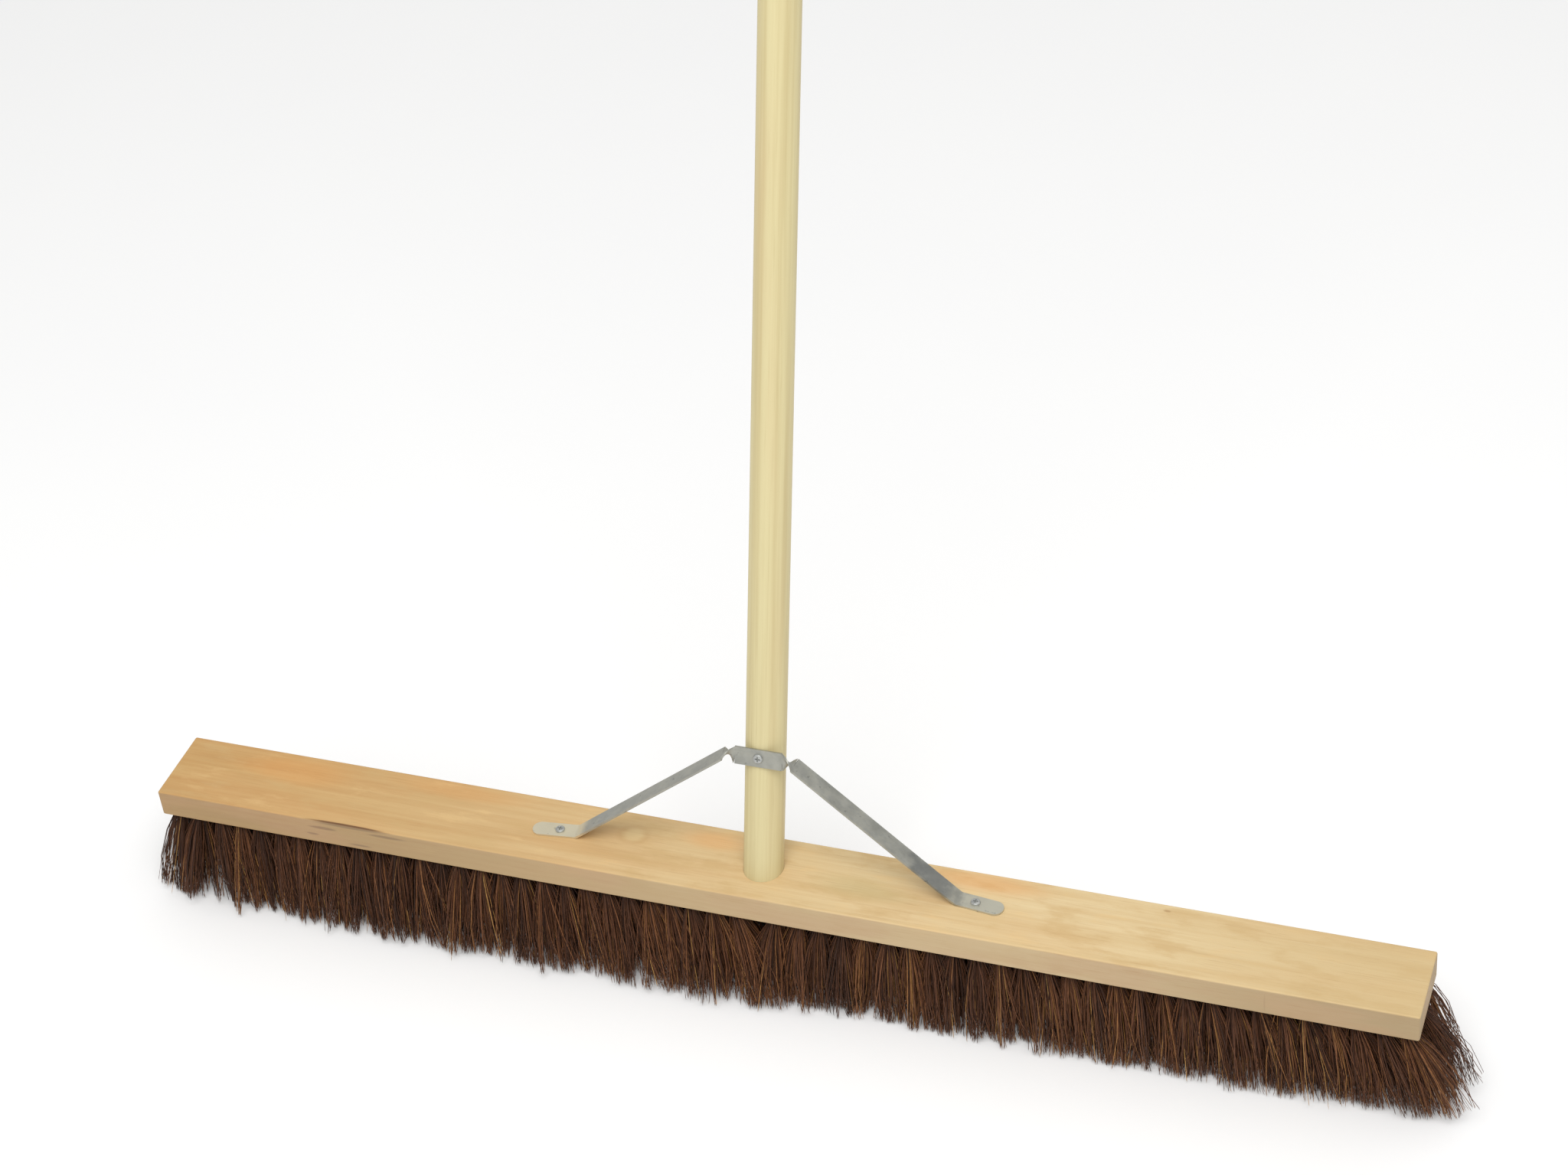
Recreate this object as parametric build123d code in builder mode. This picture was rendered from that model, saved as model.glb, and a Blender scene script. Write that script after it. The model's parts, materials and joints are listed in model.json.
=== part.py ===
"""Push broom with a flat wooden head, palm-fibre tufts, a round handle and a twisted steel stay.

Frame: millimetres, +Z up. The floor is z = 0, where the trimmed tips of the tufts stand. The origin is
under the centre of the head. X runs along the head, and the handle leans back towards +Y.
"""

from build123d import *
import os
from math import cos, radians, sin, tan

os.makedirs("parts", exist_ok=True)

# ---------------------------------------------------------------- head
stock_length = 914.0
stock_width = 62.0
stock_thickness = 22.0
stock_edge_radius = 1.5
bristle_length = 75.0
stock_bottom = bristle_length
stock_top = stock_bottom + stock_thickness

# ---------------------------------------------------------------- handle
handle_radius = 14.0
handle_length = 1370.0
handle_lean = 18.5
handle_end_radius = 11.0
socket_clearance = 0.1

# ---------------------------------------------------------------- tufts
row_pitch = 11.5
tuft_end_margin = 12.0
tufts_in_full_row = 57
tuft_pitch = (stock_length - 2 * tuft_end_margin) / (tufts_in_full_row - 1)
tuft_hole_depth = 11.0
tuft_mouth_radius = 3.65    # where the tuft leaves its hole
tuft_hole_clearance = 0.1
tuft_tip_radius = 6.4
row_spread = 1.4            # how much further apart the rows stand at the tips than at the holes
end_splay = 14.0            # how far the outermost tufts lean out along the head
end_splay_reach = 60.0      # the length of head, at each end, over which the tufts lean out
socket_wall = 2.5           # wood left between the socket and the nearest tuft hole

# ---------------------------------------------------------------- tuft anchors
anchor_width = 5.0
anchor_leg = 7.0
anchor_wire = 0.9
anchor_depth = 8.5          # from the underside of the stock to the middle of the anchor's bar

# ---------------------------------------------------------------- stay
strip_width = 12.7
strip_thickness = 1.6
plate_height = 88.5         # from the top of the stock to the plate's centre, along the handle
plate_gap = 0.05            # the flat plate only just touches the round handle
plate_half_length = 17.0
leg_start_x = 25.5
leg_start_height = 87.5     # above the top of the stock
foot_bend_x = 139.5
foot_end_x = 172.0
foot_end_y = -2.0
foot_bend_radius = 4.0
foot_corner_radius = 6.2
twist_sections = 9

# ---------------------------------------------------------------- screws
screw_hole_radius = 2.1
screw_head_radius = 3.4
screw_head_height = 1.6
screw_shank_radius = 1.75
screw_length = 16.0
screw_point = 5.0
pilot_clearance = 0.05
foot_screw_x = 152.0
recess_length = 3.6
recess_width = 0.8
recess_depth = 1.1

# The handle's axis goes up through the centre of the stock's top face.
handle_axis = Vector(0, sin(radians(handle_lean)), cos(radians(handle_lean)))
handle_front = Vector(0, -cos(radians(handle_lean)), sin(radians(handle_lean)))
handle_entry = Vector(0, 0, stock_top)
handle_plane = Plane(origin=handle_entry, x_dir=(1, 0, 0), z_dir=handle_axis)

# The stay's plate lies against the front of the handle. Its plane's Z points forward, away from it.
plate_back = handle_radius + plate_gap
plate_centre = handle_entry + handle_axis * plate_height + handle_front * (plate_back + strip_thickness / 2)
plate_plane = Plane(origin=plate_centre, x_dir=(1, 0, 0), z_dir=handle_front)

# Seen from above, each leg and its foot lie on one straight line from the twist to the foot's end.
leg_slope_y = (foot_end_y - plate_centre.Y) / (foot_end_x - leg_start_x)


def strip_y(x):
    """The stay's centre line across the head, at a distance x from the middle."""
    return plate_centre.Y + leg_slope_y * (x - leg_start_x)


def screw_plane(side):
    """The top of the stay's foot at its screw, on the left (-1) or the right (1)."""
    return Plane(origin=(side * foot_screw_x, strip_y(foot_screw_x), stock_top + strip_thickness))


# ================================================================ tuft positions
row_names = ["front", "mid_front", "centre", "mid_back", "back"]


def row_y(row):
    """Rows are numbered from the front, which faces -Y."""
    return (row - 2) * row_pitch


def tuft_axis(x, y, z):
    """Centre, at height z, of the tuft whose hole opens at (x, y) in the underside of the stock.

    The rows spread across the head on their way down, and the last tufts fan out past its ends.
    """
    into_end = abs(x) - (stock_length / 2 - tuft_end_margin - end_splay_reach)
    end_lean = end_splay * (max(into_end, 0.0) / end_splay_reach) ** 2
    tip_x = x + (end_lean if x > 0 else -end_lean)
    tip_y = y * row_spread
    down = (stock_bottom - z) / bristle_length
    return x + (tip_x - x) * down, y + (tip_y - y) * down


def tuft_radius(z):
    """The tuft widens steadily from the bottom of its hole to its tips."""
    down = (stock_bottom - z) / bristle_length
    return tuft_mouth_radius + (tuft_tip_radius - tuft_mouth_radius) * down


def clear_of_socket(x, y):
    """True where a tuft hole leaves enough wood beside the handle's slanted socket."""
    for z in (stock_bottom, stock_bottom + tuft_hole_depth):
        hole_x, hole_y = tuft_axis(x, y, z)
        socket_y = -(stock_top - z) * tan(radians(handle_lean))
        reach = handle_radius + socket_clearance + tuft_radius(z) + tuft_hole_clearance + socket_wall
        if hole_x**2 + (hole_y - socket_y) ** 2 < reach**2:
            return False
    return True


def row_positions(row):
    """Every second row is staggered by half a pitch and has one tuft fewer."""
    count = tufts_in_full_row - row % 2
    first = -(count - 1) / 2 * tuft_pitch
    places = [(first + i * tuft_pitch, row_y(row)) for i in range(count)]
    return [(x, y) for x, y in places if clear_of_socket(x, y)]


def make_cone(x, y, bottom, top, clearance):
    """The slanted cone of a tuft, or of its hole, between two heights."""
    with BuildPart() as cone:
        for z in (bottom, top):
            with BuildSketch(Plane((*tuft_axis(x, y, z), z))):
                Circle(tuft_radius(z) + clearance)
        loft()
    return cone.part


# ================================================================ stock
hole_mouth = stock_bottom - stock_edge_radius
hole_end = stock_bottom + tuft_hole_depth
tuft_holes = [
    make_cone(x, y, hole_mouth, hole_end, tuft_hole_clearance)
    for row in range(len(row_names))
    for x, y in row_positions(row)
]
with BuildPart() as stock:
    with BuildSketch(Plane.XY.offset(stock_bottom)):
        Rectangle(stock_length, stock_width)
    extrude(amount=stock_thickness)
    fillet(stock.edges(), radius=stock_edge_radius)
    # The slanted socket goes right through.
    with BuildSketch(handle_plane.offset(-2 * stock_thickness)):
        Circle(handle_radius + socket_clearance)
    extrude(amount=4 * stock_thickness, mode=Mode.SUBTRACT)
    # One blind hole for each tuft, slanted as the tuft is.
    add(tuft_holes, mode=Mode.SUBTRACT)
    # Pilot holes for the two foot screws.
    for side in (-1, 1):
        with BuildSketch(screw_plane(side)):
            Circle(screw_shank_radius + pilot_clearance)
        extrude(amount=-screw_length, mode=Mode.SUBTRACT)
stock.part.label = "stock"
export_step(stock.part, "parts/stock.step")

# ================================================================ handle
with BuildPart() as handle:
    below_entry = 2 * stock_thickness
    above_entry = handle_length - stock_thickness / cos(radians(handle_lean))
    with BuildSketch(handle_plane.offset(-below_entry)):
        Circle(handle_radius)
    extrude(amount=below_entry + above_entry)
    # The lower end is cut flush with the underside of the stock.
    split(bisect_by=Plane.XY.offset(stock_bottom), keep=Keep.TOP)
    top_rim = handle.edges().filter_by(GeomType.CIRCLE).sort_by(Axis.Z)[-1]
    fillet(top_rim, radius=handle_end_radius)
    # Pilot hole for the screw through the stay's plate.
    with BuildSketch(plate_plane.offset(strip_thickness / 2)):
        Circle(screw_shank_radius + pilot_clearance)
    extrude(amount=-screw_length, mode=Mode.SUBTRACT)
handle.part.label = "handle"
export_step(handle.part, "parts/handle.step")

# ================================================================ stay


def leg_frame(side):
    """The vertical plane through a leg and its foot: X runs outwards from the twist, and Y is up."""
    outward = Vector(side, leg_slope_y, 0).normalized()
    start = (side * leg_start_x, plate_centre.Y, stock_top + leg_start_height)
    return Plane(origin=start, x_dir=outward, z_dir=outward.cross(Vector(0, 0, 1)))


def twist_section(side, u):
    """Plane and width of the strip at u, from 0 at the plate's end to 1 at the leg's start.

    The plate's upper edge turns forwards and down to become the leg's front edge. Both edges run
    straight from the plate to the leg, which draws the strip in where it is turned half way.
    """
    frame = leg_frame(side)
    rise = (leg_start_height - strip_thickness / 2) / (foot_bend_x - leg_start_x)
    leg_direction = (frame.x_dir - Vector(0, 0, rise * abs(frame.x_dir.X))).normalized()
    start = plate_centre + Vector(side * plate_half_length, 0, 0)
    end = frame.origin
    half_way = (end - start).length / 2
    corner = (start + Vector(side * half_way, 0, 0) + end - leg_direction * half_way) * 0.5
    point = start * (1 - u) ** 2 + corner * (2 * u * (1 - u)) + end * u**2
    tangent = ((corner - start) * (1 - u) + (end - corner) * u).normalized()
    across = handle_axis * (1 - u) + frame.z_dir * (side * u)
    across = across - tangent * across.dot(tangent)
    return Plane(origin=point, x_dir=across, z_dir=tangent), strip_width * across.length


with BuildPart() as stay:
    with BuildSketch(plate_plane):
        Rectangle(2 * plate_half_length, strip_width)
    extrude(amount=strip_thickness / 2, both=True)
    for side in (-1, 1):
        # The tight twist between the plate and the leg.
        for i in range(twist_sections):
            plane, width = twist_section(side, i / (twist_sections - 1))
            with BuildSketch(plane):
                Rectangle(width, strip_thickness)
        loft(ruled=True)
        # The straight leg, bent flat onto the stock at its foot.
        frame = leg_frame(side)
        stretch = 1 / abs(frame.x_dir.X)
        drop = -(leg_start_height - strip_thickness / 2)
        with BuildSketch(frame):
            with BuildLine():
                FilletPolyline(
                    (0, 0),
                    ((foot_bend_x - leg_start_x) * stretch, drop),
                    ((foot_end_x - leg_start_x) * stretch, drop),
                    radius=foot_bend_radius,
                )
            trace(line_width=strip_thickness)
        extrude(amount=strip_width / 2, both=True)
    # Round the ends of the feet.
    fillet(stay.edges().filter_by(Axis.Z), radius=foot_corner_radius)
    # One screw hole in the plate, and one in each foot.
    for hole_plane in (plate_plane, screw_plane(-1), screw_plane(1)):
        with BuildSketch(hole_plane):
            Circle(screw_hole_radius)
        extrude(amount=2 * strip_thickness, both=True, mode=Mode.SUBTRACT)
stay.part.label = "stay"
export_step(stay.part, "parts/stay.step")

# ================================================================ screws


def make_screw(seat):
    """A round-headed wood screw with a cross recess. The seat's plane is the face its head rests on."""
    with BuildPart() as screw:
        with BuildSketch(seat):
            Circle(screw_head_radius)
        extrude(amount=screw_head_height)
        rim = screw.edges().filter_by(GeomType.CIRCLE).sort_by(Axis(seat.origin, seat.z_dir))[-1]
        fillet(rim, radius=0.7 * screw_head_height)
        with BuildSketch(seat):
            Circle(screw_shank_radius)
        extrude(amount=-(screw_length - screw_point))
        with BuildSketch(seat.offset(-(screw_length - screw_point))):
            Circle(screw_shank_radius)
        with BuildSketch(seat.offset(-screw_length)):
            Circle(0.1 * screw_shank_radius)
        loft()
        with BuildSketch(seat.offset(screw_head_height)):
            Rectangle(recess_length, recess_width)
            Rectangle(recess_width, recess_length)
        extrude(amount=-recess_depth, taper=12, mode=Mode.SUBTRACT)
    return screw.part


screw_seats = {
    "left_foot_screw": screw_plane(-1),
    "right_foot_screw": screw_plane(1),
    "plate_screw": plate_plane.offset(strip_thickness / 2),
}
for name, seat in screw_seats.items():
    with BuildPart() as screw:
        add(make_screw(seat))
    screw.part.label = name
    export_step(screw.part, f"parts/{name}.step")

# ================================================================ tufts and their anchors


def make_anchor(x, y):
    """A wire staple: its bar traps the folded fibres, and its legs are driven up into the wood."""
    bar_z = stock_bottom + anchor_depth
    bar_centre = (*tuft_axis(x, y, bar_z), bar_z)
    leg_x = (anchor_width - anchor_wire) / 2
    with BuildPart() as anchor:
        with BuildSketch(Plane(bar_centre, x_dir=(1, 0, 0), z_dir=(0, -1, 0))):
            with BuildLine():
                Polyline((-leg_x, anchor_leg), (-leg_x, 0), (leg_x, 0), (leg_x, anchor_leg))
            trace(line_width=anchor_wire)
        extrude(amount=anchor_wire / 2, both=True)
    return anchor.part


# Each tuft is a plug of fibre from the bottom of its hole to the trimmed tips on the floor.
for row, row_name in enumerate(row_names):
    places = row_positions(row)
    with BuildPart() as tufts:
        add([make_cone(x, y, 0, hole_end, 0) for x, y in places])
    tufts.part.label = f"{row_name}_tufts"
    export_step(tufts.part, f"parts/{row_name}_tufts.step")
    with BuildPart() as anchors:
        add([make_anchor(x, y) for x, y in places])
    anchors.part.label = f"{row_name}_anchors"
    export_step(anchors.part, f"parts/{row_name}_anchors.step")
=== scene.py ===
"""The looks of the push broom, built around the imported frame. Metres, in the row frame.

The wooden, steel and wire pieces keep their CAD shapes and get procedural materials. Each row of tufts
is replaced by several thousand separate palm fibres that leave the holes that the CAD tufts stand in.
"""

import json
from math import asin, ceil, cos, pi, sin, sqrt

import bpy
import numpy as np
from mathutils import Matrix, Vector


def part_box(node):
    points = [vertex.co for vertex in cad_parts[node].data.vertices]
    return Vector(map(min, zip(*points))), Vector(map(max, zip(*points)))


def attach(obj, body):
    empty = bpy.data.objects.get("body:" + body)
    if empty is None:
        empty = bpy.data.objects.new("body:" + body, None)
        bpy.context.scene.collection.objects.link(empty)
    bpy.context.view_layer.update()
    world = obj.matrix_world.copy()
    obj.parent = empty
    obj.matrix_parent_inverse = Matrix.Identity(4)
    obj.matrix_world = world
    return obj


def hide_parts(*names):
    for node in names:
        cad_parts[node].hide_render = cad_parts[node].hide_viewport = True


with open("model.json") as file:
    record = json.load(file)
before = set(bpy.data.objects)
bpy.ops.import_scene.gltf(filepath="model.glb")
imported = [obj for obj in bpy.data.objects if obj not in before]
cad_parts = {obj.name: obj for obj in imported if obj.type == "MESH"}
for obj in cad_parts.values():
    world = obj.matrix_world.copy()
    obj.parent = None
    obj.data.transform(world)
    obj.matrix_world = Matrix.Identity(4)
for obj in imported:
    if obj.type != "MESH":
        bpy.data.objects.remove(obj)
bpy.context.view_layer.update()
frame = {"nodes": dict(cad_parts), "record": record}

mm = 0.001
mounts = {mount["name"]: mount for mount in frame["record"]["mounts"]}
stock_low, stock_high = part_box("stock")
handle_axis = Vector(mounts["handle_grip"]["axis"]).normalized()
handle_lean = asin(handle_axis.y)


# ================================================================ node helpers


def colour(red, green, blue):
    """A colour given as it looks on a screen, from 0 to 255, in the linear values that shaders use."""
    shares = [channel / 255 for channel in (red, green, blue)]
    linear = [c / 12.92 if c <= 0.04045 else ((c + 0.055) / 1.055) ** 2.4 for c in shares]
    return (*linear, 1.0)


def node(tree, kind, inputs=None, **settings):
    """A shader node with its settings and inputs: numbers, colours or other nodes' outputs."""
    made = tree.nodes.new("ShaderNode" + kind)
    for key, value in settings.items():
        setattr(made, key, value)
    for key, value in (inputs or {}).items():
        if isinstance(value, bpy.types.NodeSocket):
            tree.links.new(value, made.inputs[key])
        else:
            made.inputs[key].default_value = value
    return made


def start_material(name, roughness, metallic=0.0, specular=0.5):
    """A material with its Principled shader, the tree, and the point in the row frame."""
    material = bpy.data.materials.new(name)
    material.use_nodes = True
    tree = material.node_tree
    shader = tree.nodes["Principled BSDF"]
    shader.inputs["Roughness"].default_value = roughness
    shader.inputs["Metallic"].default_value = metallic
    shader.inputs["Specular IOR Level"].default_value = specular
    point = node(tree, "TexCoord").outputs["Object"]
    return material, tree, shader, point


def scaled(tree, point, stretch, turn=(0, 0, 0)):
    """The point turned about the axes, then stretched, so that a pattern can run along one of them."""
    turned = node(tree, "VectorRotate", {"Vector": point, "Rotation": turn}, rotation_type="EULER_XYZ")
    inputs = {0: turned.outputs["Vector"], 1: stretch}
    return node(tree, "VectorMath", inputs, operation="MULTIPLY").outputs["Vector"]


def noise(tree, point, scale=1.0, detail=3.0, roughness=0.5):
    """Soft noise, mostly from 0.2 to 0.8."""
    inputs = {"Vector": point, "Scale": scale, "Detail": detail, "Roughness": roughness}
    return node(tree, "TexNoise", inputs).outputs["Fac"]


def maths(tree, operation, a, b=0.0, clamp=False):
    """One sum on two values."""
    return node(tree, "Math", {0: a, 1: b}, operation=operation, use_clamp=clamp).outputs["Value"]


def between(tree, value, low, high, to_low=0.0, to_high=1.0):
    """The value's place between two limits, held at the ends."""
    inputs = {"Value": value, "From Min": low, "From Max": high, "To Min": to_low, "To Max": to_high}
    return node(tree, "MapRange", inputs, interpolation_type="SMOOTHSTEP").outputs["Result"]


def mixed(tree, share, a, b):
    """Colour a, with a share of colour b."""
    made = node(tree, "Mix", {"Factor": share}, data_type="RGBA")
    for socket, value in ((made.inputs[6], a), (made.inputs[7], b)):
        if isinstance(value, bpy.types.NodeSocket):
            tree.links.new(value, socket)
        else:
            socket.default_value = value
    return made.outputs[2]


def spot(tree, point, centre, size, soft=1.0, wander=None):
    """1 inside an ellipsoid about a place, falling to 0 at its edge. Wander adds noise to the edge."""
    away = node(tree, "VectorMath", {0: point, 1: centre}, operation="SUBTRACT").outputs["Vector"]
    shares = node(tree, "VectorMath", {0: away, 1: size}, operation="DIVIDE").outputs["Vector"]
    length = node(tree, "VectorMath", {0: shares}, operation="LENGTH").outputs["Value"]
    if wander is not None:
        length = maths(tree, "ADD", length, wander)
    return between(tree, length, 1 - soft, 1, 1, 0)


def stained(tree, tone, mask, strength, stain):
    """The tone with a stain's colour where the mask is, at the strength given."""
    return mixed(tree, maths(tree, "MULTIPLY", mask, strength), tone, stain)


def wandering(tree, pattern, middle, amount):
    """A pattern turned into a wander for the edge of a spot."""
    return maths(tree, "MULTIPLY", maths(tree, "SUBTRACT", pattern, middle), amount)


def axis_value(tree, vector, axis):
    """One coordinate of a vector."""
    return node(tree, "SeparateXYZ", {"Vector": vector}).outputs[axis]


def bumped(tree, shader, heights):
    """Joins bumps in a row. Each is a height output, its depth in metres and its strength."""
    normal = None
    for height, depth, strength in heights:
        inputs = {"Height": height, "Distance": depth, "Strength": strength}
        if normal is not None:
            inputs["Normal"] = normal
        normal = node(tree, "Bump", inputs).outputs["Normal"]
    tree.links.new(normal, shader.inputs["Normal"])


# ================================================================ wood

stock_length = stock_high.x - stock_low.x
stock_top = stock_high.z
stock_front = stock_low.y
ring_spacing = 5.0 * mm
ring_centre = (0.012, stock_low.z - 0.085)  # the tree's pith, below the board and behind its middle

# Centre, half sizes and strength of each orange blush on the top.
blushes = (
    ((-0.043, 0.017), (0.034, 0.012), 0.4),
    ((0.150, 0.021), (0.060, 0.013), 0.45),
    ((-0.366, 0.014), (0.060, 0.020), 0.38),
    ((-0.235, 0.022), (0.070, 0.012), 0.25),
)
knot_place = (-0.1, 0.009, stock_top)
pin_knot_place = (0.278, 0.0247, stock_top)
# Place along the head, height from the top, and half sizes of each mark of bark on the front face.
bark_marks = (
    ((-0.303, -0.0012), (0.040, 0.0030)),
    ((-0.324, -0.0068), (0.013, 0.0018)),
    ((-0.334, -0.0140), (0.008, 0.0017)),
    ((-0.297, -0.0175), (0.014, 0.0015)),
    ((-0.275, -0.0046), (0.020, 0.0018)),
)
joint_place = (0.356, stock_front, stock_top - 0.012)


def growth_rings(tree, point, centre, spacing, wander):
    """Waves from 0 to 1 on circles about a line along X."""
    parts = node(tree, "SeparateXYZ", {"Vector": point}).outputs
    y = maths(tree, "SUBTRACT", parts["Y"], centre[0])
    z = maths(tree, "SUBTRACT", parts["Z"], centre[1])
    squares = maths(tree, "ADD", maths(tree, "MULTIPLY", y, y), maths(tree, "MULTIPLY", z, z))
    radius = maths(tree, "ADD", maths(tree, "SQRT", squares), wander)
    wave = maths(tree, "SINE", maths(tree, "MULTIPLY", radius, 2 * pi / spacing))
    return maths(tree, "ADD", maths(tree, "MULTIPLY", wave, 0.5), 0.5)


def planed_top(tree, point, streaks, clouds, wave, to_right):
    """The board's colour: fine streaks and rings, clouds and mottling, more orange to the left."""
    pale = mixed(tree, to_right, colour(207, 169, 112), colour(229, 206, 160))
    deep = mixed(tree, to_right, colour(194, 149, 92), colour(216, 187, 137))
    grain = maths(tree, "ADD", maths(tree, "MULTIPLY", streaks, 0.9), maths(tree, "MULTIPLY", wave, 0.12))
    tone = mixed(tree, between(tree, grain, 0.22, 0.80), pale, deep)
    tone = mixed(tree, between(tree, clouds, 0.45, 0.75, 0, 0.3), tone, colour(222, 172, 116))
    mottle = noise(tree, scaled(tree, point, (20, 62, 62)), detail=5, roughness=0.6)
    tone = mixed(tree, between(tree, mottle, 0.48, 0.66, 0, 0.55), tone, colour(206, 172, 118))
    return mixed(tree, between(tree, mottle, 0.3, 0.45, 0.35, 0), tone, colour(232, 196, 138))


def with_blushes(tree, point, tone, clouds, along):
    """Orange blushes, one duller patch beside the handle, and a duller right end."""
    edge = wandering(tree, clouds, 0.5, 1.1)
    for (x, y), (half_x, half_y), strength in blushes:
        mask = spot(tree, point, (x, y, stock_top), (half_x, half_y, 0.03), 0.8, edge)
        tone = stained(tree, tone, mask, strength, colour(226, 160, 90))
    dull = spot(tree, point, (0.074, -0.004, stock_top), (0.055, 0.016, 0.02), 0.9, edge)
    tone = stained(tree, tone, dull, 0.6, colour(203, 182, 131))
    return mixed(tree, between(tree, along, 0.22, 0.44, 0, 0.55), tone, colour(206, 178, 128))


def with_knots(tree, point, tone, streaks):
    """A pale round knot with a darker rim, and a pin knot."""
    edge = wandering(tree, streaks, 0.5, 0.5)
    inside = spot(tree, point, knot_place, (0.011, 0.0085, 0.012), 0.6, edge)
    around = spot(tree, point, knot_place, (0.015, 0.0115, 0.016), 0.6, edge)
    rim = maths(tree, "SUBTRACT", around, inside, clamp=True)
    tone = stained(tree, tone, rim, 0.4, colour(184, 138, 84))
    tone = stained(tree, tone, inside, 0.35, colour(228, 208, 154))
    pin = spot(tree, point, pin_knot_place, (0.0036, 0.0015, 0.004), 0.7)
    return stained(tree, tone, pin, 0.45, colour(150, 104, 60))


def with_front_marks(tree, point, tone, streaks):
    """Bark left along the front arris, and the faint line of a finger joint."""
    ragged = wandering(tree, streaks, 0.45, 1.6)
    for (x, drop), (half_x, half_z) in bark_marks:
        place = (x, stock_front, stock_top + drop)
        mask = spot(tree, point, place, (half_x, 0.0022, half_z), 0.5, ragged)
        tone = stained(tree, tone, mask, 0.85, colour(82, 44, 27))
    joint = spot(tree, point, joint_place, (0.0007, 0.004, 0.011), 0.6)
    return stained(tree, tone, joint, 0.35, colour(150, 112, 72))


def with_shaded_sides(tree, point, tone, to_right, along):
    """The front, back and ends in painted shade, darker than the top and darker still at the right end, with
    pink blotches.
    """
    up = axis_value(tree, node(tree, "NewGeometry").outputs["Normal"], "Z")
    side = between(tree, maths(tree, "ABSOLUTE", up), 0.2, 0.8, 0.7, 0)
    # Painted shade: the side faces darker than the top, as under light from above. Darker to the left,
    # partly the wood's own tone and partly painted shade.
    side_shade_tone = mixed(tree, to_right, colour(157, 132, 97), colour(188, 165, 130))
    # Painted shade, darker towards the right end.
    side_shade_tone = mixed(tree, between(tree, along, 0.2, 0.42, 0, 0.8), side_shade_tone, colour(146, 124, 97))
    blotches = noise(tree, scaled(tree, point, (13, 40, 40)), detail=2)
    side_shade_tone = mixed(tree, between(tree, blotches, 0.45, 0.65, 0, 0.5), side_shade_tone, colour(176, 142, 114))
    return mixed(tree, side, tone, side_shade_tone)


def make_stock_wood():
    """Pale softwood, more orange towards its left end, with a knot, blushes and a strip of bark."""
    material, tree, shader, point = start_material("stock_wood", 0.62, specular=0.35)
    wander = maths(tree, "MULTIPLY", noise(tree, scaled(tree, point, (2.4, 9, 9)), detail=4), 0.022)
    wave = growth_rings(tree, point, ring_centre, ring_spacing, wander)
    streaks = noise(tree, scaled(tree, point, (7, 210, 210)), detail=6, roughness=0.62)
    fine = noise(tree, scaled(tree, point, (34, 1500, 1500)), detail=3, roughness=0.6)
    clouds = noise(tree, scaled(tree, point, (5, 22, 22)), detail=3)
    along = axis_value(tree, point, "X")
    to_right = between(tree, along, -0.5 * stock_length, 0.2 * stock_length)

    tone = planed_top(tree, point, streaks, clouds, wave, to_right)
    tone = with_blushes(tree, point, tone, clouds, along)
    tone = with_knots(tree, point, tone, streaks)
    tone = with_front_marks(tree, point, tone, streaks)
    tone = with_shaded_sides(tree, point, tone, to_right, along)
    tone = mixed(tree, between(tree, fine, 0.56, 0.72, 0, 0.22), tone, colour(160, 116, 70))
    tree.links.new(tone, shader.inputs["Base Color"])
    tree.links.new(between(tree, streaks, 0.3, 0.75, 0.7, 0.52), shader.inputs["Roughness"])
    bumped(tree, shader, [(streaks, 0.5 * mm, 0.25), (fine, 0.25 * mm, 0.35), (wave, 0.2 * mm, 0.12)])
    return material


def make_handle_wood():
    """Smooth cream-coloured wood, with its grain along the handle."""
    material, tree, shader, point = start_material("handle_wood", 0.5, specular=0.4)
    turn = (handle_lean, 0, 0)
    streaks = noise(tree, scaled(tree, point, (190, 190, 3.2), turn), detail=6, roughness=0.6)
    fine = noise(tree, scaled(tree, point, (1300, 1300, 16), turn), detail=3, roughness=0.6)
    clouds = noise(tree, scaled(tree, point, (30, 30, 3.5), turn), detail=3)
    tone = mixed(tree, between(tree, streaks, 0.3, 0.75), colour(218, 206, 158), colour(202, 186, 137))
    tone = mixed(tree, between(tree, clouds, 0.52, 0.78, 0, 0.25), tone, colour(211, 179, 135))
    tone = mixed(tree, between(tree, clouds, 0.2, 0.45, 0.3, 0), tone, colour(214, 208, 170))
    tone = mixed(tree, between(tree, fine, 0.58, 0.74, 0, 0.25), tone, colour(176, 150, 98))
    tree.links.new(tone, shader.inputs["Base Color"])
    tree.links.new(between(tree, streaks, 0.3, 0.75, 0.55, 0.42), shader.inputs["Roughness"])
    bumped(tree, shader, [(streaks, 0.3 * mm, 0.2), (fine, 0.15 * mm, 0.3)])
    return material


# ================================================================ metal


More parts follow.
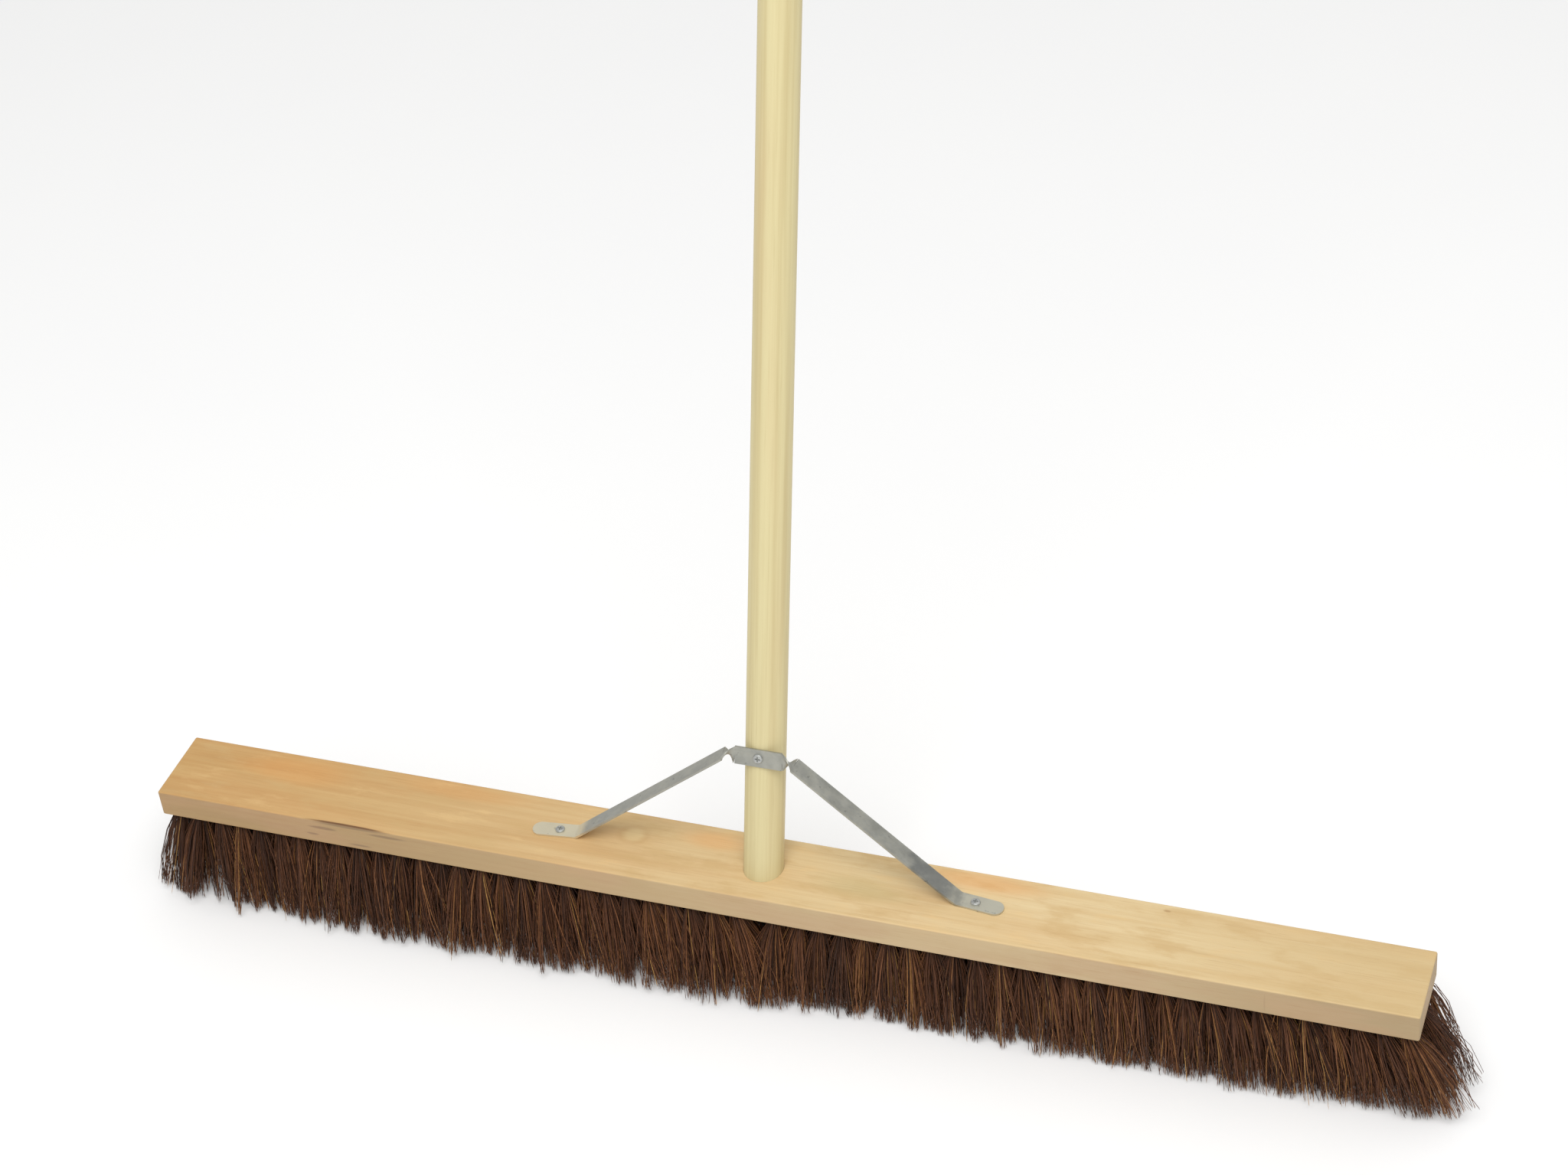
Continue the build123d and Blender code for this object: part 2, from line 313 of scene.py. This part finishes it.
def make_zinc():
    """Dull galvanised strip: cloudy grey, rubbed streaks, blue-grey tarnish, and warmer feet with a painted
    highlight that makes them paler.
    """
    material, tree, shader, point = start_material("zinc_steel", 0.5, metallic=0.75)
    clouds = noise(tree, scaled(tree, point, (70, 70, 70)), detail=5, roughness=0.6)
    streaks = noise(tree, scaled(tree, point, (26, 420, 420)), detail=5, roughness=0.6)
    cells = node(tree, "TexVoronoi", {"Vector": point, "Scale": 330.0}).outputs["Color"]
    spangle = axis_value(tree, cells, "X")
    tone = mixed(tree, between(tree, clouds, 0.3, 0.7), colour(156, 156, 148), colour(179, 178, 168))
    tone = mixed(tree, between(tree, streaks, 0.5, 0.75, 0, 0.5), tone, colour(144, 147, 145))
    tone = stained(tree, tone, spangle, 0.12, colour(196, 198, 194))
    # The flat feet are warmer, and painted paler: a painted highlight where they face the light above.
    foot = between(tree, axis_value(tree, point, "Z"), stock_top + 3 * mm, stock_top + 9 * mm, 0.85, 0)
    to_right = between(tree, axis_value(tree, point, "X"), -0.1, 0.1)
    feet = mixed(tree, to_right, colour(232, 222, 194), colour(208, 205, 188))
    tone = mixed(tree, foot, tone, feet)
    # Tarnish on the right leg, above its foot.
    screw_low, screw_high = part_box("right_foot_screw")
    tarnish_place = (screw_low.x - 0.024, (screw_low.y + screw_high.y) / 2, stock_top + 0.012)
    ragged = wandering(tree, clouds, 0.5, 2.0)
    tarnish = spot(tree, point, tarnish_place, (0.028, 0.03, 0.022), 0.7, ragged)
    tone = stained(tree, tone, tarnish, 0.5, colour(104, 108, 110))
    specks = between(tree, noise(tree, point, 240, detail=2), 0.66, 0.74, 0, 0.4)
    tone = mixed(tree, specks, tone, colour(96, 98, 96))
    tree.links.new(tone, shader.inputs["Base Color"])
    tree.links.new(between(tree, clouds, 0.3, 0.7, 0.42, 0.6), shader.inputs["Roughness"])
    bumped(tree, shader, [(clouds, 0.25 * mm, 0.2), (streaks, 0.1 * mm, 0.3)])
    return material


def make_screw_steel():
    """Dull zinc plating, a little brighter than the strip."""
    material, tree, shader, point = start_material("screw_steel", 0.5, metallic=0.75)
    clouds = noise(tree, point, 600, detail=4)
    tone = mixed(tree, between(tree, clouds, 0.35, 0.7), colour(168, 170, 168), colour(198, 199, 194))
    tree.links.new(tone, shader.inputs["Base Color"])
    tree.links.new(between(tree, clouds, 0.3, 0.7, 0.42, 0.6), shader.inputs["Roughness"])
    bumped(tree, shader, [(clouds, 0.1 * mm, 0.25)])
    return material


def make_anchor_wire():
    """Drawn steel wire with a thin grey oxide."""
    material, tree, shader, point = start_material("anchor_wire", 0.45, metallic=0.85)
    streaks = noise(tree, scaled(tree, point, (300, 900, 900)), detail=4)
    tone = mixed(tree, streaks, colour(104, 102, 98), colour(158, 156, 150))
    tree.links.new(tone, shader.inputs["Base Color"])
    tree.links.new(between(tree, streaks, 0.3, 0.7, 0.38, 0.58), shader.inputs["Roughness"])
    bumped(tree, shader, [(streaks, 0.05 * mm, 0.3)])
    return material


# ================================================================ palm fibre


def make_palm_fibre():
    """Brown palm fibre. Each fibre has its own tone, and painted shade darkens it towards its root."""
    material, tree, shader, point = start_material("palm_fibre", 0.55, specular=0.3)
    tone = node(tree, "Attribute", attribute_name="tone").outputs["Fac"]
    along = node(tree, "Attribute", attribute_name="along").outputs["Fac"]
    ramp = node(tree, "ValToRGB", {"Fac": tone})
    stops = (
        (0.0, colour(60, 36, 23)),
        (0.45, colour(106, 66, 42)),
        (0.8, colour(146, 95, 57)),
        (0.92, colour(174, 124, 68)),
        (1.0, colour(208, 160, 94)),
    )
    elements = ramp.color_ramp.elements
    while len(elements) < len(stops):
        elements.new(0.5)
    for element, (place, stop_colour) in zip(elements, stops):
        element.position = place
        element.color = stop_colour
    fleck = noise(tree, scaled(tree, point, (900, 900, 90)), detail=3)
    brown = mixed(tree, between(tree, fleck, 0.4, 0.7, 0, 0.4), ramp.outputs["Color"], colour(44, 28, 20))
    # Painted shade: darker towards the root, where the other fibres and the stock above shade it.
    brown = mixed(tree, between(tree, along, 0.0, 0.35, 0.55, 0), brown, colour(30, 19, 13))
    tree.links.new(brown, shader.inputs["Base Color"])
    tree.links.new(between(tree, fleck, 0.3, 0.7, 0.45, 0.65), shader.inputs["Roughness"])
    bumped(tree, shader, [(fleck, 0.1 * mm, 0.4)])
    return material


fibres_per_tuft = 150
clumps_per_tuft = 20
root_radius = 3.3 * mm           # fibres fill the tuft's hole to here
root_depth = 5 * mm              # how far up in its hole a fibre starts
tip_spread = (15.0 * mm, 10.5 * mm)   # a tuft's fibres reach this far, in among the tufts beside it
belly = 3.8 * mm                 # how far a tuft swells half way down
early_lean = 0.22                # half way down, a leaning fibre bows out by this share of its lean
row_flare = 1.15                 # the rows' tips are spread across the head by this factor
fibre_thin, fibre_thick = 0.26 * mm, 0.46 * mm   # radii at the root
tip_share = 0.62                 # a tip's radius as a share of the root's
fibre_rings = (0.0, 0.3, 0.64, 0.97)             # places of a fibre's cross-sections along it
stray_share, golden_share = 0.03, 0.03           # fibres that stand apart, and that are pale
head_reach, side_reach = 0.501, 0.058            # no tip stands further along or across the head
floor_gap = 0.3 * mm
spare_length = 2 * mm            # a straight fibre would reach this far into the floor

# How far things stray at random: standard deviations, and mean lengths for the ones cut short.
tuft_wander = (2.7 * mm, 1.1 * mm)
clump_wander = 3.0 * mm
stray_wander = 6 * mm
bow_wander = 2.6 * mm
clump_short, fibre_short, tip_short = 1.3 * mm, 1.8 * mm, 0.8 * mm
most_short = 10 * mm             # the most that fibre_short takes off
tone_wander, tuft_tone_wander = 0.22, 0.1

# A wider step than this along X leads to a row's next tuft, among its points at the top and the tips.
top_gap, tip_gap = 3 * mm, 2.3 * mm

# How far the tips lean along the head: into the parting under the handle, and out at the right end.
lean_places = (-0.46, -0.42, -0.36, -0.20, -0.09, -0.012, 0.012, 0.045, 0.09, 0.25, 0.36, 0.42, 0.46)
lean_sizes = (-4, -2, 1, 3, 9, 20, -14, -8, 0, 8, 13, 17, 20)
# Added at the right end, by place across the head, so that the middle rows lean out furthest there.
fan_places, fan_sizes = (-0.032, 0.0, 0.032), (-4, 5, -13)
left_edge, left_squeeze = -0.465, 0.65           # left of here the tips stand closer together
# Right of the middle, and a little at the left end, the front tips stand further in.
tuck_places, tucks = (-0.40, -0.30, -0.01, 0.05, 0.36, 0.46), (0.1, 0, 0, 0.24, 0.26, 0.34)


def ring_centres(points, level, gap):
    """Centres, from left to right, of the circles that a row's cones have at one level."""
    ring = points[np.abs(points[:, 2] - level) < 0.01 * mm]
    ring = ring[np.argsort(ring[:, 0])]
    breaks = np.nonzero(np.diff(ring[:, 0]) > gap)[0] + 1
    return np.array([(part.min(0) + part.max(0)) / 2 for part in np.split(ring, breaks)])


def tuft_lines(row):
    """The mouth, in the underside of the stock, and the tip centre of each tuft in a CAD row."""
    vertices = frame["nodes"][row].data.vertices
    points = np.array([vertex.co for vertex in vertices])
    low, high = points[:, 2].min(), points[:, 2].max()
    tops, tips = ring_centres(points, high, top_gap), ring_centres(points, low, tip_gap)
    share = (stock_low.z - low) / (high - low)
    return tips + (tops - tips) * share, tips


def in_disk(random, count):
    """Even random places in a disk of radius 1."""
    radius = np.sqrt(random.random(count))
    angle = random.random(count) * 2 * pi
    return np.stack([radius * np.cos(angle), radius * np.sin(angle)], 1)


def tuft_paths(random, mouth, tip):
    """Root, tip, bow, tone and radius of each of a tuft's fibres.

    The fibres spread into the neighbouring tufts, and their tips gather in small ragged points.
    """
    count = fibres_per_tuft
    clump = random.integers(0, clumps_per_tuft, count)
    clump_disk = in_disk(random, clumps_per_tuft)
    disk = 0.6 * clump_disk[clump] + 0.5 * in_disk(random, count)
    disk /= np.maximum(1, np.linalg.norm(disk, axis=1))[:, None]
    root = np.empty((count, 3))
    root[:, :2] = mouth[:2] + disk * root_radius
    root[:, 2] = mouth[2] + root_depth

    lean = np.interp(mouth[0] + disk[:, 0] * tip_spread[0], lean_places, lean_sizes) * mm
    tuft_lean = random.normal(0, 1, 2) * tuft_wander
    clump_tip = clump_disk * tip_spread + random.normal(0, clump_wander, (clumps_per_tuft, 2))
    clump_lift = random.exponential(clump_short, clumps_per_tuft)
    short = np.minimum(random.exponential(fibre_short, count), most_short)
    spread = (1.0 * mm + 0.6 * short)[:, None]
    end = np.empty((count, 3))
    end[:, :2] = tip[:2] * (1, row_flare) + tuft_lean + clump_tip[clump] + in_disk(random, count) * spread
    lean += np.interp(mouth[0], (0.36, 0.46), (0, 1)) * np.interp(tip[1], fan_places, fan_sizes) * mm
    lean *= random.uniform(0.4, 1.25, count)
    end[:, 0] += lean
    stray = random.random(count) < stray_share
    end[stray, :2] += random.normal(0, stray_wander, (stray.sum(), 2))
    end[:, 0] -= np.minimum(end[:, 0] - left_edge, 0) * (1 - left_squeeze)
    end[:, 1] *= 1 - np.interp(end[:, 0], tuck_places, tucks) * (end[:, 1] < 0)
    end[:, :2] = np.clip(end[:, :2], (-head_reach, -side_reach), (head_reach, side_reach))
    across = np.linalg.norm(end[:, :2] - root[:, :2], axis=1)
    length = mouth[2] + root_depth + spare_length
    drop = np.sqrt(length**2 - np.minimum(across, 0.6 * length) ** 2)
    height = mouth[2] + root_depth - drop + clump_lift[clump] + short
    end[:, 2] = np.maximum(height, floor_gap + random.exponential(tip_short, count))

    bow = random.normal(0, bow_wander, (count, 3))
    bow[:, :2] += disk * belly
    bow[:, 0] += lean * early_lean
    bow[:, 2] = 0
    middle_tone = np.interp(mouth[0], (-0.45, 0), (0.32, 0.42))
    tone = random.normal(middle_tone, tone_wander, count) + random.normal(0, tuft_tone_wander)
    tone = np.clip(tone, 0, 0.85)
    golden = stray | (random.random(count) < golden_share)
    tone[golden] = random.uniform(0.84, 1.0, golden.sum())
    bow[golden] *= 0.5
    radius = random.uniform(fibre_thin, fibre_thick, count)
    return root, end, bow, tone, radius


def make_fibres(name, row, seed):
    """One row's fibres as tapering three-sided tubes in one mesh, with a cell of the UV map for each."""
    random = np.random.default_rng(seed)
    mouths, tips = tuft_lines(row)
    tufts = [tuft_paths(random, mouth, tip) for mouth, tip in zip(mouths, tips)]
    root, end, bow, tone, radius = (np.concatenate(parts) for parts in zip(*tufts))
    count, rings, sides = len(root), len(fibre_rings), 3
    share = np.array(fibre_rings)[None, :, None]
    middle = root[:, None] + (end - root)[:, None] * share + bow[:, None] * 4 * share * (1 - share)
    angle = random.random(count)[:, None, None] * 2 * pi + np.arange(sides) * 2 * pi / sides
    size = radius[:, None, None] * (1 - (1 - tip_share) * share)
    around = np.zeros((count, rings, sides, 3))
    around[..., 0] = np.cos(angle) * size
    around[..., 1] = np.sin(angle) * size
    tubes = (middle[:, :, None] + around).reshape(count, rings * sides, 3)
    points = np.concatenate([tubes, end[:, None]], 1)
    per_fibre = rings * sides + 1

    faces, cells = fibre_faces(rings, sides)
    triangles = (np.arange(count)[:, None, None] * per_fibre + faces).reshape(-1, 3)
    mesh = bpy.data.meshes.new(name)
    mesh.from_pydata(points.reshape(-1, 3).tolist(), [], triangles.tolist())
    mesh.polygons.foreach_set("use_smooth", np.ones(len(triangles), bool))
    along = np.append(np.repeat(fibre_rings, sides), 1.0)
    for attribute, values in (("tone", np.repeat(tone, per_fibre)), ("along", np.tile(along, count))):
        mesh.attributes.new(attribute, "FLOAT", "POINT").data.foreach_set("value", values.astype(np.float32))

    columns = ceil(sqrt(count))
    corner = np.stack([np.arange(count) % columns, np.arange(count) // columns], 1)
    uv = (corner[:, None, None] + 0.1 + 0.8 * cells) / columns
    mesh.uv_layers.new(name="OFBake").data.foreach_set("uv", uv.astype(np.float32).ravel())
    mesh.update()
    piece = bpy.data.objects.new(name, mesh)
    bpy.context.scene.collection.objects.link(piece)
    return piece


def fibre_faces(rings, sides):
    """A fibre's triangles, and the place of each corner in the fibre's own square of the UV map."""
    faces, cells = [], []
    for ring in range(rings - 1):
        for side in range(sides):
            after = (side + 1) % sides
            a, b = ring * sides + side, ring * sides + after
            left, right = side / sides, (side + 1) / sides
            low, high = ring / rings, (ring + 1) / rings
            faces += [(a, b, b + sides), (a, b + sides, a + sides)]
            cells += [((left, low), (right, low), (right, high)), ((left, low), (right, high), (left, high))]
    last = (rings - 1) * sides
    for side in range(sides):
        after = (side + 1) % sides
        left, right, low = side / sides, (side + 1) / sides, (rings - 1) / rings
        faces.append((last + side, last + after, rings * sides))
        cells.append(((left, low), (right, low), (left, 1.0)))
    faces.append((0, 2, 1))
    cells.append(((0.0, 0.0), (0.1, 0.0), (0.0, 0.1)))
    return np.array(faces), np.array(cells)


# ================================================================ stage, light and camera


def make_floor():
    """A plain pale floor, far wider than the view."""
    material, tree, shader, point = start_material("floor_paper", 0.9, specular=0.1)
    clouds = noise(tree, point, 3.0)
    tree.links.new(
        mixed(tree, clouds, colour(250, 250, 249), colour(247, 247, 247)), shader.inputs["Base Color"]
    )
    shader.inputs["Emission Color"].default_value = (1.0, 1.0, 1.0, 1.0)
    shader.inputs["Emission Strength"].default_value = 0.1
    mesh = bpy.data.meshes.new("floor")
    half = 20.0
    corners = [(-half, -half, 0), (half, -half, 0), (half, half, 0), (-half, half, 0)]
    mesh.from_pydata(corners, [], [(0, 1, 2, 3)])
    mesh.materials.append(material)
    floor = bpy.data.objects.new("floor", mesh)
    bpy.context.scene.collection.objects.link(floor)


def make_lights():
    """A white sky, and one large soft lamp above and in front of the broom."""
    world = bpy.data.worlds.new("studio")
    bpy.context.scene.world = world
    world.use_nodes = True
    sky = world.node_tree.nodes["Background"]
    sky.inputs["Color"].default_value = (1.0, 1.0, 1.0, 1.0)
    sky.inputs["Strength"].default_value = 0.62
    lamp = bpy.data.lights.new("softbox", "AREA")
    lamp.shape = "DISK"
    lamp.size = 2.4
    lamp.energy = 58
    softbox = bpy.data.objects.new("softbox", lamp)
    bpy.context.scene.collection.objects.link(softbox)
    aim = Vector((0, 0, 0.2))
    softbox.location = (0.45, -1.3, 3.0)
    softbox.rotation_mode = "QUATERNION"
    softbox.rotation_quaternion = (aim - softbox.location).to_track_quat("-Z", "Y")
    bpy.context.scene.view_settings.view_transform = "Standard"


def make_camera():
    """Stands in front of the right half of the head, looking down at it, and is held a little askew."""
    place, aim = Vector((0.6697, -1.4805, 1.6377)), Vector((0.0387, 0.0, 0.3516))
    roll = 6.5 * pi / 180
    data = bpy.data.cameras.new("camera")
    data.lens, data.sensor_width = 74.4, 36.0
    camera = bpy.data.objects.new("camera", data)
    bpy.context.scene.collection.objects.link(camera)
    forward = (aim - place).normalized()
    level = forward.cross(Vector((0, 0, 1))).normalized()
    upright = level.cross(forward)
    right = level * cos(roll) - upright * sin(roll)
    up = upright * cos(roll) + level * sin(roll)
    rotation = Matrix((right, up, -forward)).transposed()
    camera.matrix_world = Matrix.Translation(place) @ rotation.to_4x4()
    bpy.context.scene.camera = camera


# ================================================================ the broom


def cover(names, material):
    """Gives CAD nodes a material, in all their slots."""
    for name in names:
        mesh = frame["nodes"][name].data
        for index in range(len(mesh.materials)):
            mesh.materials[index] = material


rows = ["front", "mid_front", "centre", "mid_back", "back"]
make_camera()
make_lights()
make_floor()
cover(["stock"], make_stock_wood())
cover(["handle"], make_handle_wood())
cover(["stay"], make_zinc())
cover(["left_foot_screw", "right_foot_screw", "plate_screw"], make_screw_steel())
cover([f"{row}_anchors" for row in rows], make_anchor_wire())
palm_fibre = make_palm_fibre()
for number, row in enumerate(rows):
    fibres = make_fibres(f"{row}_fibres", f"{row}_tufts", seed=10 + number)
    fibres.data.materials.append(palm_fibre)
    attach(fibres, "root")
    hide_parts(f"{row}_tufts")
